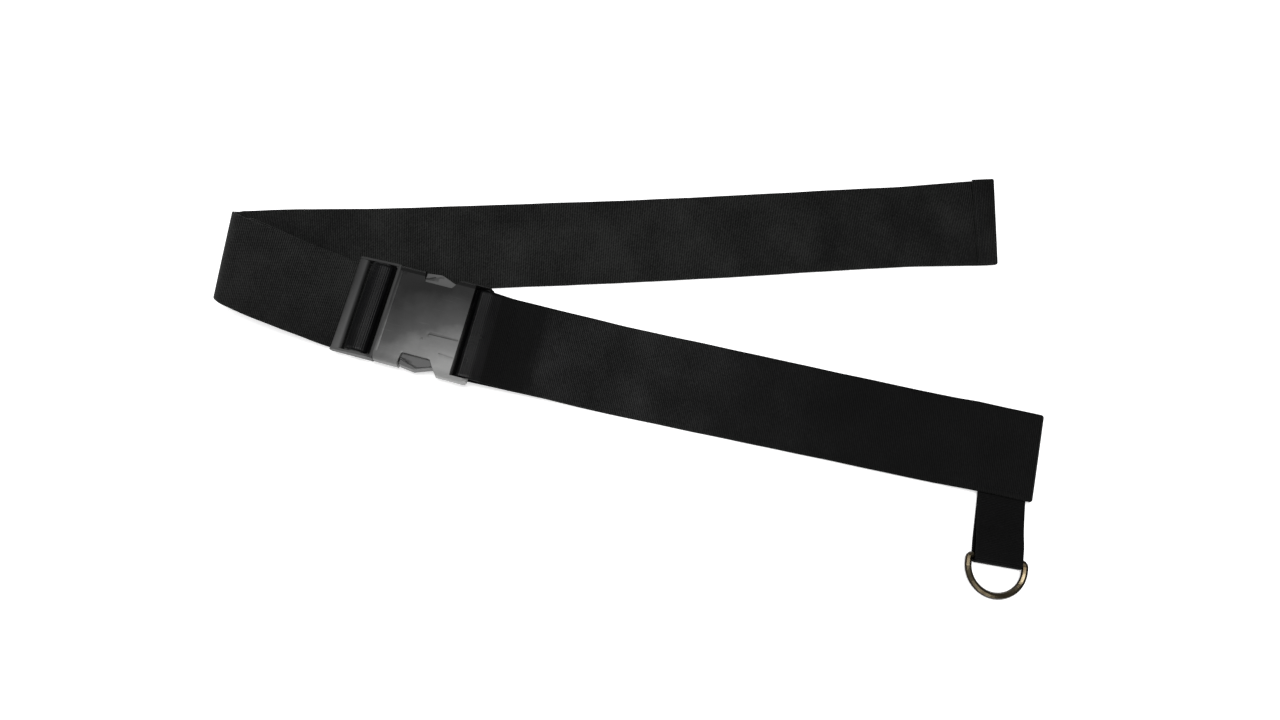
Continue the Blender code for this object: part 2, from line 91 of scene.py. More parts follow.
# The socket's flat top face, whose moulded marks aren't worn pale, and its slight crown
FACE_X = (3, 41.2)
FACE_HALF = 19
CROWN_HEIGHT = 0.55
CROWN_MIDDLE = 21.5
CROWN_REACH = (18.5, 20)

# Where painted light and shade change the buckle's tone: along the socket, to its sides, and painted shade
# where the plug enters it
SOCKET_X = (0, 42)
SOCKET_SIDE = 27
MOUTH_SHADE_X = (-5, -2)

# Angles between faces that are rounded over, worn pale and kept sharp in shading
HARD_ANGLE = math.radians(50)
WORN_ANGLE = math.radians(32)
SHARP_ANGLE = math.radians(28)

# Painted light and shade along design x (millimetres, brightness), multiplied into the cloth's colour: the
# strands are painted darker towards the right, and the front strap is darkest in its loop, as painted
# shade of the buckle, and lightest just past it
TAIL_PAINTED_LIGHT = [(-95, 1.05), (-70, 1.0), (-20, 1.1), (60, 1.1), (150, 1.15), (230, 0.98), (320, 0.95)]
FRONT_PAINTED_LIGHT = [
    (40, 0.4),
    (60, 0.4),
    (78, 0.55),
    (86, 1.1),
    (140, 1.05),
    (200, 0.72),
    (265, 0.5),
    (362, 0.55),
]
TAB_PAINTED_LIGHT = [(340, 0.6), (352, 0.55)]

# Camera over the surface, in millimetres and degrees, and the buckle's place from the view's middle
SENSOR = 36
LENS = 29.53125
CAM_PITCH = 15.53
CAM_YAW = 4.29
CAM_DIST = 577.85
BUCKLE_TURN = -13.8
BUCKLE_ON_MAT = (-135.714, 19.915)


# ---------------------------------------------------------------- frame and helpers

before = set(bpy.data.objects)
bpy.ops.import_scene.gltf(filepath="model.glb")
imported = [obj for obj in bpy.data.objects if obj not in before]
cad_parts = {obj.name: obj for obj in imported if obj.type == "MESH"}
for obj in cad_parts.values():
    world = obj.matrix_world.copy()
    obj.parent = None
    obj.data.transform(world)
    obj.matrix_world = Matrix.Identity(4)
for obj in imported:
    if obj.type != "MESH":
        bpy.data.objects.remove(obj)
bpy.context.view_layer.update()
body_low, body_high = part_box("buckle_female_body")
ORIGIN = Vector((body_low.x, (body_low.y + body_high.y) / 2, body_low.z - (BUCKLE_Z - SOCKET_HALF) * MM))


def at(x, y, z):
    """World position of a design point given in millimetres."""
    return Vector((x, y, z)) * MM + ORIGIN


def link(obj):
    """The object, now in the scene."""
    bpy.context.scene.collection.objects.link(obj)
    return obj


def corner_arc(before, corner, after, radius):
    """Points of the arc that rounds a corner, or the corner itself where it is sharp or straight."""
    to_before = (before - corner).normalized()
    to_after = (after - corner).normalized()
    half = to_before.angle(to_after) / 2
    turn = math.pi - 2 * half
    if radius <= 0 or turn < 1e-4:
        return [corner]
    cut = radius / math.tan(half)
    centre = corner + (to_before + to_after).normalized() * (radius / math.sin(half))
    start = corner + to_before * cut - centre
    axis = start.cross(corner + to_after * cut - centre).normalized()
    steps = max(2, math.ceil(turn / ARC_STEP))
    return [centre + Matrix.Rotation(turn * n / steps, 3, axis) @ start for n in range(steps + 1)]


def rounded_route(stations):
    """World points and cross angles (radians) along stations (x, y, z, radius, angle) in millimetres."""
    corners = [at(*station[:3]) for station in stations]
    points, owners = [], []
    for n, station in enumerate(stations):
        if 0 < n < len(stations) - 1:
            arc = corner_arc(corners[n - 1], corners[n], corners[n + 1], station[3] * MM)
        else:
            arc = [corners[n]]
        points += arc
        owners += [n] * len(arc)
    points = np.array(points)
    run = np.concatenate([[0], np.cumsum(np.linalg.norm(np.diff(points, axis=0), axis=1))])
    owners = np.array(owners)
    middles = [run[owners == n].mean() for n in range(len(stations))]
    angles = np.interp(run, middles, [math.radians(station[4]) for station in stations])
    return points, run, angles


# ---------------------------------------------------------------- webbing routes
#
# Stations (x, y, z, radius, angle), as in the CAD but for a fuller loop round the socket's bar, a rounder
# crown over the middle bar, a step in the tab, the hem's end and a closed split under the right fold.


def front_y(x):
    """The front strap's middle line: straight from the socket to its bend, then a little flatter."""
    bend_x, bend_y = FRONT_BEND
    slope = FRONT_SLOPE if x > bend_x else bend_y / (bend_x - BAR_X)
    return bend_y + slope * (x - bend_x)


def front_stations():
    """Under the loop, round the socket's bar, along the visible strand and round the right fold."""
    wrap = BAR_RADIUS + 1.0
    slot_x = BAR_X - wrap - 2.1
    route = [
        (88, 5.15, 0, FRONT_PSI),
        (64, 7.6, 15, FRONT_PSI),
        (54, BUCKLE_Z - wrap, 10, 91),
        (slot_x, BUCKLE_Z - wrap, wrap, 90),
        (slot_x, BUCKLE_Z + wrap, wrap, 90),
        (50.0, BUCKLE_Z + wrap, 11, 91),
        (63.5, 9.9, 24, FRONT_PSI),
        (86, 7.1, 60, FRONT_PSI),
        (FRONT_BEND[0], FLOOR + LAYER, 120, FRONT_PSI),
        (306, FLOOR + LAYER, 30, FRONT_PSI),
        (SPLIT_X, 5.2, 30, FRONT_PSI),
        (FOLD_X, 5.2, 2.24, 90),
        (FOLD_X, FLOOR, 2.24, 90),
        (SPLIT_X, FLOOR, 0, 90.5),
    ]
    last = len(route) - 1
    return [
        (x, front_y(x) + (FOLD_SHIFT if n >= last - 1 else 0), z, radius, psi)
        for n, (x, z, radius, psi) in enumerate(route)
    ]


def back_stations():
    """From the right fold under the buckle to the left, round the inner fold and back to the adjuster."""
    over = FLOOR + LAYER
    return [
        (SPLIT_X - SPLIT_GAP, front_y(SPLIT_X) + FOLD_SHIFT, FLOOR, 0, 90.5),
        (290, front_y(290) + 0.5, FLOOR, 400, FRONT_PSI),
        (125, 3.7, FLOOR, 400, FRONT_PSI),
        (75, 2.9, FLOOR, 100, 91.5),
        (38, 2.2, over, 100, 91),
        (-22, 1.9, over, 200, 91.5),
        (-57, 4.0, over, 120, 95),
        (-84.6, 7.8, over, 6, 98),
        (-84.6, 6.9, 16.2, 6.4, 98),
        (-64, 3.4, 15.6, 30, 96),
        (-36, 0.8, LOAD, 50, 92),
        (-25.5, 0.2, LOAD, 0, 90.5),
    ]


def tail_stations():
    """Over the adjuster's middle bar, round the left fold, along the upper strand and round the hem."""
    under_bar = LOAD + LAYER
    wrap = WEB_THICK / MM / 2 + 0.35
    inner_x = MIDDLE_BAR[1] + wrap
    outer_x = MIDDLE_BAR[0] - wrap
    over_bar = BUCKLE_Z + MIDDLE_THICK / 2 + wrap
    return [
        (-25.2, 0.2, LOAD, 0, 90.5),
        (inner_x, 0, LOAD, 2.2, 90),
        (inner_x + 0.6, 0, over_bar - 0.9, 2.6, 90),
        (sum(MIDDLE_BAR) / 2, 0, over_bar + 1.6, 9, 90),
        (outer_x - 0.6, 0, over_bar - 0.9, 2.6, 90),
        (outer_x, 0, under_bar, 1.3, 90),
        (-26, 0, under_bar, 20, 90.3),
        (-50, 0.6, 15.4, 60, 91.5),
        (-72, 2.0, 21.6, 28, 95.5),
        (-92.6, 5.2, 21.9, 10, 98.2),
        (-92.4, 14.4, FLOOR, 10, 98.6),
        (-61.4, 24.2, FLOOR, 60, 105.2),
        (-18.5, 36.5, FLOOR, 300, 107.5),
        (110.4, 78.0, FLOOR, 900, 108.2),
        (300, 141.7, FLOOR, 200, 108.4),
        (317.9, 147.7, FLOOR, 0.9, 101),
        (317.9, 147.9, FLOOR + HEM_LAYER, 0.9, 101),
        (306.3, 144.0, FLOOR + HEM_LAYER, 0, 102.8),
    ]


def tab_x(y):
    """The tab's middle line, which leans a little."""
    return 345.1 - TAB_LEAN * (y + 13.7)


def tab_stations():
    """From between the belt's layers out and round the ring's bar, and back under itself."""
    route = [
        (TAB_TOP, 3.65, 0),
        (-14.2, 3.65, 20),
        (-29.5, 4.6, 6),
        (-37.2, 6.1, 12),
        (-48.6, 6.1, 2.7),
        (-48.6, 0.6, 2.7),
        (-37.2, 0.6, 20),
        (-14.7, 2.28, 15),
        (TAB_TOP, 2.28, 0),
    ]
    return [(tab_x(y), y, z, radius, TAB_PSI) for y, z, radius in route]


# ---------------------------------------------------------------- webbing mesh


def woven_strip(name, stations, width, thick, pitch, rib, seed, spread=None):
    """Closed webbing strip: cross ribs on both faces, rounded selvedges and a slight waviness.

    spread gives, for design x in millimetres, the share by which the strip widens and its sideways shift.
    """
    points, run, angles = rounded_route(stations)
    step = pitch / ROWS_PER_RIB
    count = max(8, round(run[-1] / step))
    s = np.linspace(0, run[-1], count + 1)
    centre = np.stack([np.interp(s, run, points[:, k]) for k in range(3)], 1)
    psi = np.interp(s, run, angles)
    across = np.stack([np.cos(psi), np.sin(psi), np.zeros_like(psi)], 1)
    tangent = np.gradient(centre, s, axis=0)
    normal = np.cross(tangent, across)
    normal /= np.linalg.norm(normal, axis=1)[:, None]
    half = width / 2
    wobble = wave(s, seed, SELVEDGE_SWAY)
    gain = np.zeros_like(s)
    if spread:
        gain, shift = spread((centre[:, 0] - ORIGIN.x) / MM)
        centre = centre + across * shift[:, None]
    profile = section(half, thick)
    rows = []
    for u, n, weight in profile:
        edge = abs(u) / half
        side = 1 if n > 0 else -1
        ribs = rib * weight * np.cos(2 * math.pi * s / pitch) * side
        sway = wobble * (1 if u > 0 else -1) * (edge > 0.9)
        reach = u * (1 + gain) + sway
        rows.append(centre + across * reach[:, None] + normal * (n + ribs)[:, None])
    grid = np.stack(rows, 1)
    return grid_tube(name, grid, s, [u for u, _, _ in profile])


def smooth(value, low, high):
    """Soft step from 0 at low to 1 at high."""
    t = np.clip((value - low) / (high - low), 0, 1)
    return t * t * (3 - 2 * t)


def front_spread(x):
    """Rounded corners at the right fold."""
    rounded = 0.035 * smooth(x, FOLD_X - 1.6, FOLD_X + 0.6)
    return -rounded, np.zeros_like(x)


def tail_spread(x):
    """The upper strand widens towards its hem. The left fold's corners are rounded."""
    wider = 0.072 * smooth(x, 262, 316)
    rounded = 0.03 * smooth(-x, 91.2, 93.2)
    shift = 0.75 * MM * smooth(x, 150, 250)
    return wider - rounded, shift


def wave(s, seed, height):
    """Slow smooth variation along the strip, the same on every run."""
    rng = np.random.default_rng(seed)
    total = np.zeros_like(s)
    for length in (0.031, 0.053, 0.094):
        total += np.sin(2 * math.pi * s / length + rng.uniform(0, 2 * math.pi)) / 3
    return total * height


def section(half, thick):
    """(across, out, rib weight) round the strip: top face, rounded edge, underside, rounded edge."""
    t = thick / 2
    face = [
        (-half + 1.9 * MM, t, 0.6),
        (-half + 2.4 * MM, t - 0.03 * MM, 1.0),
        (-half * 0.5, t, 1.0),
        (0.0, t, 1.0),
        (half * 0.5, t, 1.0),
        (half - 2.4 * MM, t - 0.03 * MM, 1.0),
        (half - 1.9 * MM, t, 0.6),
        (half - 0.7 * MM, t, 0.6),
        (half - 0.22 * MM, t * 0.72, 0.4),
        (half, 0.0, 0.0),
        (half - 0.22 * MM, -t * 0.72, 0.4),
        (half - 0.7 * MM, -t, 0.6),
    ]
    return face + [(-u, -n, w) for u, n, w in face]


def grid_tube(name, grid, s, across):
    """Mesh from rings of points, closed at both ends, with (across, along) in metres as its UV map."""
    count, ring = grid.shape[:2]
    mesh = bpy.data.meshes.new(name)
    index = np.arange(count * ring).reshape(count, ring)
    a = index[:-1]
    b = index[1:]
    quads = np.stack([a, np.roll(a, -1, 1), np.roll(b, -1, 1), b], -1).reshape(-1, 4)
    faces = quads.tolist() + [index[0][::-1].tolist(), index[-1].tolist()]
    mesh.from_pydata(grid.reshape(-1, 3).tolist(), [], faces)
    layer = mesh.uv_layers.new(name="strip")
    loops = np.empty(len(mesh.loops), int)
    mesh.loops.foreach_get("vertex_index", loops)
    across = np.array(across)
    uv = np.stack([across[loops % ring], s[loops // ring]], 1)
    layer.data.foreach_set("uv", uv.ravel().astype(np.float32))
    mesh.validate()
    bm = bmesh.new()
    bm.from_mesh(mesh)
    bmesh.ops.recalc_face_normals(bm, faces=bm.faces)
    bm.to_mesh(mesh)
    bm.free()
    mesh.shade_smooth()
    mesh.set_sharp_from_angle(angle=math.radians(60))
    return link(bpy.data.objects.new(name, mesh))


# ---------------------------------------------------------------- seams


def stitch_row(start, end):
    """Vertices and faces of a row of stitches: each one a short thread that dips at both ends."""
    up = Vector((0, 0, 1))
    along = end - start
    length = along.length
    along.normalize()
    side = up.cross(along).normalized()
    count = max(1, round(length / STITCH_PITCH))
    verts, faces = [], []
    rings, sides = 7, 8
    for n in range(count):
        first = start + along * (length * (n + 0.06) / count)
        last = start + along * (length * (n + 0.94) / count)
        base = len(verts)
        for k in range(rings):
            t = k / (rings - 1)
            lift = STITCH_RISE * math.sin(math.pi * t) ** 0.5 - STITCH_RISE * 0.45
            radius = THREAD_RADIUS * (0.55 + 0.45 * math.sin(math.pi * t) ** 0.4)
            centre = first.lerp(last, t) + up * lift
            for m in range(sides):
                turn = 2 * math.pi * m / sides
                verts.append(centre + side * (radius * math.cos(turn)) + up * (radius * math.sin(turn)))
        for k in range(rings - 1):
            for m in range(sides):
                a = base + k * sides + m
                b = base + k * sides + (m + 1) % sides
                faces.append((a, b, b + sides, a + sides))
        faces.append(tuple(base + m for m in reversed(range(sides))))
        faces.append(tuple(base + (rings - 1) * sides + m for m in range(sides)))
    return verts, faces


def seam(name, centre, psi, half, finish):
    """One row of stitches across a strap, with its middle at a design point and its length 2 * half."""
    across = Vector((math.cos(math.radians(psi)), math.sin(math.radians(psi)), 0))
    middle = at(*centre)
    verts, faces = stitch_row(middle - across * half, middle + across * half)
    mesh = bpy.data.meshes.new(name)
    mesh.from_pydata([tuple(v) for v in verts], [], faces)
    bm = bmesh.new()
    bm.from_mesh(mesh)
    bmesh.ops.recalc_face_normals(bm, faces=bm.faces)
    bm.to_mesh(mesh)
    bm.free()
    mesh.shade_smooth()
    mesh.materials.append(finish)
    return link(bpy.data.objects.new(name, mesh))


# ---------------------------------------------------------------- materials


class Nodes:
    """Short calls for building one material's node tree."""

    def __init__(self, name):
        self.material = bpy.data.materials.new(name)
        self.material.use_nodes = True
        self.tree = self.material.node_tree
        self.shader = self.tree.nodes["Principled BSDF"]

    def add(self, kind, **values):
        node = self.tree.nodes.new(kind)
        for key, value in values.items():
            setattr(node, key, value)
        return node

    def join(self, a, b):
        self.tree.links.new(a, b)

    def value(self, operation, a, b=None):
        node = self.add("ShaderNodeMath", operation=operation)
        for slot, given in enumerate((a, b)):
            if given is None:
                continue
            if isinstance(given, (int, float)):
                node.inputs[slot].default_value = given
            else:
                self.join(given, node.inputs[slot])
        return node.outputs[0]

    def noise(self, vector, scale, detail=3.0, rough=0.55):
        node = self.add("ShaderNodeTexNoise")
        node.inputs["Scale"].default_value = scale
        node.inputs["Detail"].default_value = detail
        node.inputs["Roughness"].default_value = rough
        self.join(vector, node.inputs["Vector"])
        return node.outputs["Fac"]

    def ramp(self, factor, stops):
        node = self.add("ShaderNodeValToRGB")
        while len(node.color_ramp.elements) < len(stops):
            node.color_ramp.elements.new(0.5)
        for element, (place, colour) in zip(node.color_ramp.elements, stops):
            element.position = place
            element.color = (*colour, 1.0)
        self.join(factor, node.inputs["Fac"])
        return node.outputs["Color"]

    def mapped(self, factor, low, high, to_low, to_high):
        node = self.add("ShaderNodeMapRange")
        limits = {"From Min": low, "From Max": high, "To Min": to_low, "To Max": to_high}
        for slot, number in limits.items():
            node.inputs[slot].default_value = number
        self.join(factor, node.inputs["Value"])
        return node.outputs["Result"]

    def bump(self, height, strength, distance):
        node = self.add("ShaderNodeBump")
        node.inputs["Strength"].default_value = strength
        node.inputs["Distance"].default_value = distance
        self.join(height, node.inputs["Height"])
        self.join(node.outputs["Normal"], self.shader.inputs["Normal"])


def webbing_material(name, colours, yarn, rib, painted_light=None, relief=0.6, gloss=0.05, rough=(0.5, 0.66)):
    """Woven nylon: fine yarns in each rib, staggered from rib to rib, with cloudy wear and lint, and
    painted light and shade along the strap when a table is given.
    """
    made = Nodes(name)
    uv = made.add("ShaderNodeUVMap", uv_map="strip").outputs["UV"]
    split = made.add("ShaderNodeSeparateXYZ")
    made.join(uv, split.inputs[0])
    across, along = split.outputs[0], split.outputs[1]
    rib_number = made.value("MULTIPLY", along, 1 / rib)
    yarn_number = made.value("MULTIPLY", across, 1 / yarn)
    shift = made.value("MULTIPLY", made.value("FLOOR", made.value("ADD", rib_number, 0.5)), 0.5)
    rib_turn = made.value("MULTIPLY", rib_number, 2 * math.pi)
    lean = made.value("MULTIPLY", made.value("SINE", rib_turn), 0.22)
    phase = made.value("ADD", made.value("ADD", yarn_number, shift), lean)
    yarn_wave = made.value("SINE", made.value("MULTIPLY", phase, 2 * math.pi))
    rib_wave = made.value("COSINE", rib_turn)
    yarns = made.value("MULTIPLY", yarn_wave, 0.35)
    weave = made.value("ADD", yarns, made.value("MULTIPLY", rib_wave, 0.5))
    where = made.add("ShaderNodeTexCoord").outputs["Object"]
    cloud = made.noise(where, 30, 5)
    fuzz = made.noise(where, 900, 2)
    tone = made.value("ADD", cloud, made.value("MULTIPLY", made.value("SUBTRACT", fuzz, 0.5), 0.8))
    tone = made.value("ADD", tone, made.value("MULTIPLY", weave, relief))
    # Painted light and shade along the strap, multiplied into the tone
    if painted_light:
        tone = made.value("MULTIPLY", tone, painted_light_ramp(made, where, painted_light))
    colour = made.ramp(tone, [(0.1, colours[0]), (0.5, colours[1]), (1.0, colours[2])])
    made.join(colour, made.shader.inputs["Base Color"])
    made.join(made.mapped(cloud, 0.3, 0.7, *rough), made.shader.inputs["Roughness"])
    made.shader.inputs["Sheen Weight"].default_value = 0.015
    made.shader.inputs["Sheen Roughness"].default_value = 0.4
    made.shader.inputs["Specular IOR Level"].default_value = gloss
    height = made.value("ADD", weave, made.value("MULTIPLY", fuzz, 0.5))
    made.bump(height, 0.8, relief * 0.17 * MM)
    return made.material


def painted_light_ramp(made, where, painted_light):
    """Painted light and shade along design x. The ramp holds half of it, since a ramp's colours end at 1.
    """
    split = made.add("ShaderNodeSeparateXYZ")
    made.join(where, split.inputs[0])
    first, last = painted_light[0][0], painted_light[-1][0]
    place = made.mapped(split.outputs[0], at(first, 0, 0).x, at(last, 0, 0).x, 0, 1)
    stops = [((x - first) / (last - first), (level / 2,) * 3) for x, level in painted_light]
    return made.value("MULTIPLY", made.ramp(place, stops), 2.0)


def plastic_material(name, colours, rough, gloss, mouth_shade=False, even=False):
    """Moulded nylon: grain, faint clouds, scuffs, paler edges, and painted light and shade unless it is
    even.
    """
    made = Nodes(name)
    where = made.add("ShaderNodeTexCoord").outputs["Object"]
    grain = made.noise(where, 2600, 2)
    cloud = made.noise(where, 45, 4)
    scratch_map = made.add("ShaderNodeMapping")
    scratch_map.inputs["Rotation"].default_value = (0, 0, math.radians(24))
    scratch_map.inputs["Scale"].default_value = (60, 1500, 60)
    made.join(where, scratch_map.inputs["Vector"])
    scratch = made.noise(scratch_map.outputs["Vector"], 1.0, 3)
    marks = made.mapped(scratch, 0.62, 0.75, 0.0, 1.0)
    edge = made.add("ShaderNodeAttribute", attribute_name="edge").outputs["Fac"]
    worn = made.value("POWER", edge, 4.0)
    clouds = made.mapped(cloud, 0.3, 0.7, 0.42, 0.58)
    tone = made.value("ADD", clouds, made.value("MULTIPLY", worn, 0.22))
    tone = made.value("ADD", tone, made.value("MULTIPLY", marks, 0.08))
    if not even:
        tone = made.value("ADD", tone, painted_gradient(made, where, mouth_shade))
    colour = made.ramp(tone, [(0.2, colours[0]), (0.5, colours[1]), (0.85, colours[2])])
    made.join(colour, made.shader.inputs["Base Color"])
    patches = made.mapped(cloud, 0.3, 0.7, *rough)
    dull = made.value("ADD", patches, made.value("MULTIPLY", grain, 0.06))
    made.join(dull, made.shader.inputs["Roughness"])
    made.shader.inputs["Specular IOR Level"].default_value = gloss
    height = made.value("ADD", made.value("MULTIPLY", grain, 0.5), made.value("MULTIPLY", marks, -0.4))
    made.bump(height, 0.12, 0.05 * MM)
    return made.material


def painted_gradient(made, where, mouth_shade):
    """Painted light makes the far lower corner lighter. Painted shade darkens the plug where the socket
    shelters it.
    """
    split = made.add("ShaderNodeSeparateXYZ")
    made.join(where, split.inputs[0])
    mouth, back = at(SOCKET_X[0], 0, 0).x, at(SOCKET_X[1], 0, 0).x
    low, high = at(0, -SOCKET_SIDE, 0).y, at(0, SOCKET_SIDE, 0).y
    # Painted light: lighter along the socket's lower side towards its far end, darker towards its upper
    # side
    along = made.mapped(split.outputs[0], mouth, back, -0.15, 0.24)
    along = made.value("MULTIPLY", along, made.mapped(split.outputs[1], low, high, 1, 0))
    change = made.value("ADD", along, made.mapped(split.outputs[1], low, high, 0.28, -0.46))
    # Painted shade on the plug at the socket's mouth
    if mouth_shade:
        outside, inside = at(MOUTH_SHADE_X[0], 0, 0).x, at(MOUTH_SHADE_X[1], 0, 0).x
        shade = made.mapped(split.outputs[0], outside, inside, 0, -0.65)
        change = made.value("ADD", change, shade)
    return change


def nickel_material():
    """Plated wire: warm nickel with tarnish and small pits, with painted dark reflections that make its
    flanks darker than its top.
    """
    made = Nodes("warm_nickel")
    where = made.add("ShaderNodeTexCoord").outputs["Object"]
    tarnish = made.noise(where, 140, 4)
    pits = made.noise(where, 1900, 3)
    up = made.add("ShaderNodeSeparateXYZ")
    made.join(made.add("ShaderNodeTexCoord").outputs["Normal"], up.inputs[0])
    # Painted dark reflections: faces that turn sideways are darker than the top
    side = made.mapped(up.outputs[2], 0.35, 0.9, -0.45, 0.12)
    tone = made.value("ADD", tarnish, side)
    stops = [(0.1, (0.011, 0.007, 0.004)), (0.5, (0.042, 0.032, 0.019)), (0.85, (0.16, 0.134, 0.088))]
    colour = made.ramp(tone, stops)
    made.join(colour, made.shader.inputs["Base Color"])
    made.join(made.mapped(tarnish, 0.3, 0.7, 0.30, 0.16), made.shader.inputs["Roughness"])
    made.shader.inputs["Metallic"].default_value = 1.0
    made.bump(pits, 0.25, 0.03 * MM)
    return made.material


def thread_material():
    """Bonded thread: twisted plies shown by fine slanting bands."""
    made = Nodes("black_thread")
    where = made.add("ShaderNodeTexCoord").outputs["Object"]
    twist = made.add("ShaderNodeTexWave", wave_type="BANDS", bands_direction="DIAGONAL")
    twist.inputs["Scale"].default_value = 900
    twist.inputs["Distortion"].default_value = 1.5
    made.join(where, twist.inputs["Vector"])
    stops = [(0.0, (0.0012, 0.0012, 0.0014)), (1.0, (0.006, 0.006, 0.007))]
    colour = made.ramp(twist.outputs["Fac"], stops)
    made.join(colour, made.shader.inputs["Base Color"])
    made.shader.inputs["Roughness"].default_value = 0.6
    made.shader.inputs["Specular IOR Level"].default_value = 0.1
    made.bump(twist.outputs["Fac"], 0.5, 0.05 * MM)
    return made.material


# ---------------------------------------------------------------- pieces


def webbing_cloths():
    """Materials of the strap's under and upper parts, its front strand, its tight parts over the bars,
    glossier and painted dark as shade, and the tab.
    """
    nylon = webbing_material(
        "black_nylon_webbing",
        ((0.0009, 0.0009, 0.0009), (0.0052, 0.0053, 0.0052), (0.0230, 0.0234, 0.0226)),
        YARN_PITCH,
        RIB_PITCH,
        TAIL_PAINTED_LIGHT,
    )
    front = webbing_material(
        "black_front_webbing",
        ((0.0009, 0.0009, 0.0009), (0.0060, 0.0061, 0.0061), (0.0250, 0.0252, 0.0252)),
        YARN_PITCH,
        RIB_PITCH,
        FRONT_PAINTED_LIGHT,
    )
    # Smoother, glossier cloth drawn tight over a bar; its colours are painted dark as the buckle's shade
    tight_shaded = webbing_material(
        "black_tight_shaded_webbing",
        ((0.0003, 0.0003, 0.0004), (0.0010, 0.0010, 0.0012), (0.0034, 0.0034, 0.0038)),
        YARN_PITCH,
        RIB_PITCH,
        relief=0.15,
        gloss=0.09,
        rough=(0.26, 0.36),
    )
    narrow = webbing_material(
        "black_tab_webbing",
        ((0.0008, 0.0008, 0.0008), (0.0042, 0.0042, 0.0043), (0.0150, 0.0150, 0.0153)),
        TAB_YARN_PITCH,
        TAB_RIB_PITCH,
        TAB_PAINTED_LIGHT,
    )
    return nylon, front, tight_shaded, narrow


def build_webbing():
    """Three strips of the one strap, and the ring's tab."""
    nylon, front, tight_shaded, narrow = webbing_cloths()
    strap = (WEB_WIDTH, WEB_THICK, RIB_PITCH, RIB_HEIGHT)

    stations = front_stations()
    strip = woven_strip("belt_front_strap", stations, *strap, 1, front_spread)
    strip.data.materials.append(front)
    press(strip, tight_shaded, stations, TIGHT_SHADE_TO_X)
    finish_strip(strip, "webbing_front", "female_half", stations)

    stations = back_stations()
    strip = woven_strip("belt_under_strap", stations, *strap, 2)
    strip.data.materials.append(nylon)
    finish_strip(strip, "webbing_back", None, stations)

    stations = tail_stations()
    strip = woven_strip("belt_tail_strap", stations, *strap, 3, tail_spread)
    strip.data.materials.append(nylon)
    press(strip, tight_shaded, stations)
    finish_strip(strip, "webbing_tail", "male_half", stations)

    stations = tab_stations()
    strip = woven_strip("ring_tab", stations, TAB_WIDTH, TAB_THICK, TAB_RIB_PITCH, TAB_RIB_HEIGHT, 4)
    strip.data.materials.append(narrow)
    finish_strip(strip, "d_ring_tab", "female_half", stations)


def finish_strip(strip, node, body, stations):
    """Hides the strip's CAD node and parents the strip to its body; one without a body, which runs between
    the buckle's two halves, has its placement baked into its mesh.
    """
    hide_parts(node)
    if body:
        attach(strip, body)
    else:
        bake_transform(strip)
    length = float(rounded_route(stations)[1][-1])


def press(strip, finish, stations, reach=None):
    """Second material, glossier and painted dark as shade, where the strap is drawn tight over a bar.

    It starts at the bar's height, and ends at design x = reach or else down at that height again.
    """
    strip.data.materials.append(finish)
    points, run, _ = rounded_route(stations)
    spots = (points - np.array(ORIGIN)) / MM
    start = int(np.argmax(spots[:, 2] > BUCKLE_Z))
    if reach is None:
        stop = run[start + int(np.argmax(spots[start:, 2] < BUCKLE_Z))]
    else:
        end = start + int(np.argmax(spots[start:, 0] > reach))
        stop = np.interp(reach, spots[end - 1 : end + 1, 0], run[end - 1 : end + 1])
    uv = strip.data.uv_layers["strip"].data
    for polygon in strip.data.polygons:
        along = sum(uv[k].uv[1] for k in polygon.loop_indices) / polygon.loop_total
        polygon.material_index = int(run[start] < along < stop)


def build_seams():
    """Five rows of stitches, each on the top face of what it sews."""
    thread = thread_material()
    half = WEB_WIDTH / 2 - 2.5 * MM
    tab_half = TAB_WIDTH / 2 - 1.5 * MM
    face = WEB_THICK / MM / 2
    tab_face = TAB_THICK / MM / 2
    rows = [
        ("loop_far", "female_half", (LOOP_FAR_X, front_y(LOOP_FAR_X), 7.86 + face), FRONT_PSI, half),
        ("loop_near", "female_half", (LOOP_NEAR_X, front_y(LOOP_NEAR_X), 9.86 + face), FRONT_PSI, half),
        ("hem", "male_half", (309.3, 145.4, FLOOR + HEM_LAYER + face), 102.5, half),
        ("tab_belt", "female_half", (345, front_y(345) - 21.5, 5.2 + face), 2.6, tab_half),
        ("tab_edge", "female_half", (tab_x(-16.2), -16.2, 3.93 + tab_face), TAB_PSI, tab_half),
    ]
    for place, body, centre, psi, reach in rows:
        made = seam(f"{place}_stitches", centre, psi, reach, thread)
        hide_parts(f"seam_{place}")
        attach(made, body)


def refined(node, name, edge):
    """The CAD node's shape, each flat face in one piece, its hard edges rounded over a width of edge."""
    bm = bmesh.new()
    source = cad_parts[node]
    bm.from_mesh(source.data)
    bm.transform(source.matrix_world)
    bmesh.ops.remove_doubles(bm, verts=bm.verts, dist=0.002 * MM)
    bmesh.ops.dissolve_limit(bm, angle_limit=math.radians(1), verts=bm.verts, edges=bm.edges)
    hard = [e for e in bm.edges if len(e.link_faces) == 2 and e.calc_face_angle() > HARD_ANGLE]
    bmesh.ops.bevel(
        bm, geom=hard, offset=edge, segments=2, profile=0.5, affect="EDGES", clamp_overlap=True
    )
    mesh = bpy.data.meshes.new(name)
    bm.to_mesh(mesh)
    bm.free()
    return link(bpy.data.objects.new(name, mesh))


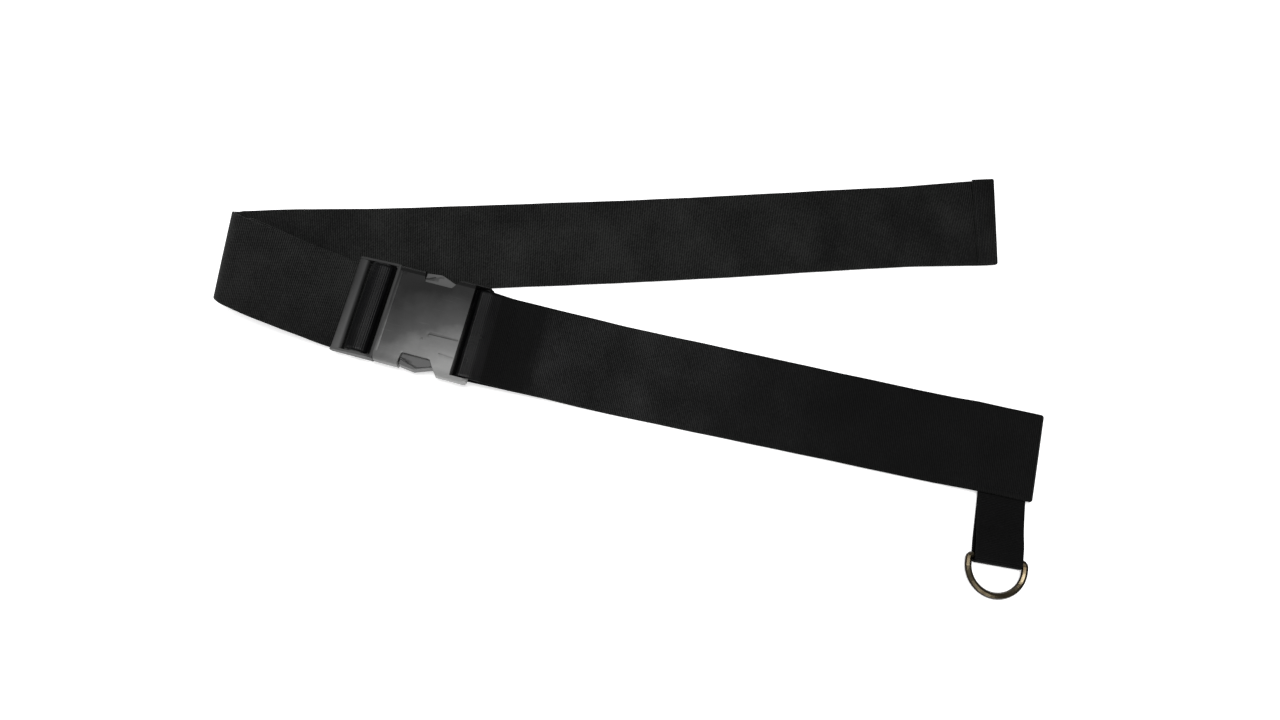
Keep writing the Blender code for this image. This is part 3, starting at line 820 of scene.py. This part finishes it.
def gridded(obj, pitch, crown=0.0):
    """Evenly cut faces, the top crowned by some millimetres, and an edge attribute where faces turn."""
    bm = bmesh.new()
    bm.from_mesh(obj.data)
    for axis in range(2):
        low = min(v.co[axis] for v in bm.verts)
        high = max(v.co[axis] for v in bm.verts)
        cuts = int((high - low) / pitch)
        for n in range(1, cuts + 1):
            place, normal = Vector(), Vector()
            place[axis] = low + (high - low) * n / (cuts + 1)
            normal[axis] = 1
            whole = bm.verts[:] + bm.edges[:] + bm.faces[:]
            bmesh.ops.bisect_plane(bm, geom=whole, plane_co=place, plane_no=normal)
    bmesh.ops.triangulate(bm, faces=[f for f in bm.faces if len(f.verts) > 4])
    layer = bm.verts.layers.float.new("edge")
    top = BUCKLE_Z + SOCKET_HALF
    for vert in bm.verts:
        spot = (vert.co - ORIGIN) / MM
        turns = [e.calc_face_angle(0) for e in vert.link_edges]
        on_face = abs(spot.y) < FACE_HALF and FACE_X[0] < spot.x < FACE_X[1]
        moulded = crown and on_face and spot.z > top - 1.5
        vert[layer] = 1.0 if max(turns) > WORN_ANGLE and not moulded else 0.0
    for vert in bm.verts:
        spot = (vert.co - ORIGIN) / MM
        if crown and spot.z > top - 0.5:
            along = max(0.0, 1 - ((spot.x - CROWN_MIDDLE) / CROWN_REACH[0]) ** 2)
            across = max(0.0, 1 - (spot.y / CROWN_REACH[1]) ** 2)
            vert.co.z += crown * along * across * MM
    bm.to_mesh(obj.data)
    bm.free()


def block(centre, size, turn=0.0):
    """Helper box: design centre and size in millimetres, turned about Z by degrees."""
    mesh = bpy.data.meshes.new("helper")
    bm = bmesh.new()
    bmesh.ops.create_cube(bm, size=1)
    bmesh.ops.scale(bm, vec=Vector(size) * MM, verts=bm.verts)
    bmesh.ops.rotate(bm, matrix=Matrix.Rotation(math.radians(turn), 3, "Z"), verts=bm.verts)
    bmesh.ops.translate(bm, vec=at(*centre), verts=bm.verts)
    bm.to_mesh(mesh)
    bm.free()
    return link(bpy.data.objects.new("helper", mesh))


def button(centre, radius, height):
    """Helper disc that narrows to its top: design centre, radius and height in millimetres."""
    mesh = bpy.data.meshes.new("helper")
    bm = bmesh.new()
    wide, narrow, depth = radius * MM, radius * 0.7 * MM, height * MM
    bmesh.ops.create_cone(bm, cap_ends=True, segments=20, radius1=wide, radius2=narrow, depth=depth)
    bmesh.ops.translate(bm, vec=at(*centre), verts=bm.verts)
    bm.to_mesh(mesh)
    bm.free()
    return link(bpy.data.objects.new("helper", mesh))


def carve(obj, helpers, operation):
    """Booleans of the helpers, which are used up."""
    for helper in helpers:
        step = obj.modifiers.new("carve", "BOOLEAN")
        step.operation = operation
        step.solver = "EXACT"
        step.object = helper
    mesh = bpy.data.meshes.new_from_object(obj.evaluated_get(bpy.context.evaluated_depsgraph_get()))
    obj.modifiers.clear()
    obj.data = mesh
    for helper in helpers:
        bpy.data.objects.remove(helper, do_unlink=True)


def line_block(start, end, z, width, height):
    """Helper box along a line between two design points."""
    along = Vector(end) - Vector(start)
    middle = (Vector(start) + Vector(end)) / 2
    turn = math.degrees(math.atan2(along.y, along.x))
    return block((middle.x, middle.y, z), (along.length, width, height), turn)


def finish_piece(obj, node, slot, body, finish):
    """Material and shading, the CAD node hidden, and the piece parented to its body. A prong has its
    placement baked into its mesh instead.
    """
    obj.data.materials.clear()
    obj.data.materials.append(finish)
    obj.data.shade_smooth()
    obj.data.set_sharp_from_angle(angle=SHARP_ANGLE)
    weighted = obj.modifiers.new("even_shading", "WEIGHTED_NORMAL")
    weighted.keep_sharp = True
    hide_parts(node)
    if slot == "prong":
        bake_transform(obj)
    else:
        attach(obj, body)


def build_buckle():
    """Socket with its moulded marks, plug, and the two prongs with a crease in each."""
    tones = ((0.007, 0.007, 0.007), (0.045, 0.045, 0.045), (0.210, 0.210, 0.208))
    shell = plastic_material("dark_satin_plastic", tones, (0.34, 0.42), 0.12)
    tones = ((0.014, 0.014, 0.014), (0.036, 0.036, 0.036), (0.070, 0.070, 0.069))
    frame_plastic = plastic_material("dull_frame_plastic", tones, (0.48, 0.58), 0.3, mouth_shade=True)
    tones = ((0.018, 0.018, 0.018), (0.036, 0.036, 0.036), (0.070, 0.070, 0.069))
    grey = plastic_material("grey_satin_plastic", tones, (0.40, 0.50), 0.4, even=True)
    top = BUCKLE_Z + SOCKET_HALF
    socket = refined("buckle_female_body", "buckle_socket", 0.3 * MM)
    grooves = [
        block((1.5, 0, top), (0.4, 46, 0.5)),
        line_block((24.8, -7.5), (40.9, -6.9), top, 0.4, 1.4),
        line_block((32.8, -16.2), (41.0, -16.7), top, 0.4, 0.9),
    ]
    carve(socket, grooves, "DIFFERENCE")
    carve(socket, [button((22.1, -10.5, top), 0.55, 0.4)], "UNION")
    gridded(socket, 2.2 * MM, CROWN_HEIGHT)
    finish_piece(socket, "buckle_female_body", "buckle", "female_half", shell)
    plug = refined("buckle_male_frame", "buckle_plug", 0.25 * MM)
    gridded(plug, 3 * MM)
    finish_piece(plug, "buckle_male_frame", "buckle", "male_half", frame_plastic)
    for side in ("upper", "lower"):
        piece = refined(f"buckle_prong_{side}", f"buckle_{side}_press", 0.35 * MM)
        sign = 1 if side == "upper" else -1
        crease = line_block((13.0, sign * 22.3), (22.8, sign * 26.3), BUCKLE_Z + 3.9, 0.5, 2.2)
        carve(piece, [crease], "DIFFERENCE")
        gridded(piece, 2.5 * MM)
        finish_piece(piece, f"buckle_prong_{side}", "prong", f"prong_{side}", grey)


def finish_ring():
    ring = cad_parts["d_ring"]
    ring.data.materials.clear()
    ring.data.materials.append(nickel_material())


# ---------------------------------------------------------------- camera, floor and light


def on_mat(place):
    """World position of a point given in millimetres from the view's middle, X to its right and Y up."""
    turn = Matrix.Rotation(math.radians(-BUCKLE_TURN), 3, "Z")
    return turn @ (Vector(place) - Vector((*BUCKLE_ON_MAT, 0))) * MM + ORIGIN


def camera_place():
    pitch, yaw = math.radians(CAM_PITCH), math.radians(CAM_YAW)
    back = Vector((-math.sin(yaw), -math.sin(pitch) * math.cos(yaw), math.cos(pitch) * math.cos(yaw)))
    back.normalize()
    right = Vector((0, 1, 0)).cross(back).normalized()
    up = back.cross(right)
    turn = Matrix.Rotation(math.radians(-BUCKLE_TURN), 3, "Z")
    matrix = Matrix([turn @ right, turn @ up, turn @ back]).transposed().to_4x4()
    matrix.translation = on_mat(back * CAM_DIST)
    return matrix


def build_stage():
    camera = bpy.data.cameras.new("camera")
    camera.sensor_width = SENSOR
    camera.lens = LENS
    camera.clip_start = 0.01
    seen = link(bpy.data.objects.new("camera", camera))
    seen.matrix_world = camera_place()
    bpy.context.scene.camera = seen
    mesh = bpy.data.meshes.new("floor")
    bm = bmesh.new()
    bmesh.ops.create_grid(bm, x_segments=2, y_segments=2, size=4)
    bm.to_mesh(mesh)
    bm.free()
    floor = link(bpy.data.objects.new("floor", mesh))
    floor.location.z = -0.2 * MM
    paint = Nodes("pale_floor")
    paint.shader.inputs["Base Color"].default_value = (0.93, 0.93, 0.93, 1)
    paint.shader.inputs["Roughness"].default_value = 0.9
    paint.shader.inputs["Emission Color"].default_value = (1, 1, 1, 1)
    paint.shader.inputs["Emission Strength"].default_value = 0.45
    mesh.materials.append(paint.material)


def area_light(name, place, size, power):
    """Square light (metres, watts) at a place above the mat, turned to the middle of the view."""
    light = bpy.data.lights.new(name, "AREA")
    light.shape = "RECTANGLE"
    light.size = light.size_y = size
    light.energy = power
    obj = link(bpy.data.objects.new(name, light))
    obj.location = on_mat(place)
    obj.rotation_euler = (obj.location - on_mat((0, 0, 0))).to_track_quat("Z", "Y").to_euler()


def build_light():
    area_light("overhead", (-60, 40, 1400), 0.6, 17)
    area_light("front", (150, -650, 800), 0.5, 2.2)
    area_light("side", (-900, 100, 500), 0.5, 2.5)
    world = bpy.data.worlds.new("studio")
    world.use_nodes = True
    world.node_tree.nodes["Background"].inputs["Color"].default_value = (1, 1, 1, 1)
    world.node_tree.nodes["Background"].inputs["Strength"].default_value = 0.22
    bpy.context.scene.world = world
    bpy.context.scene.view_settings.view_transform = "Standard"


build_webbing()
build_seams()
build_buckle()
finish_ring()
build_stage()
build_light()
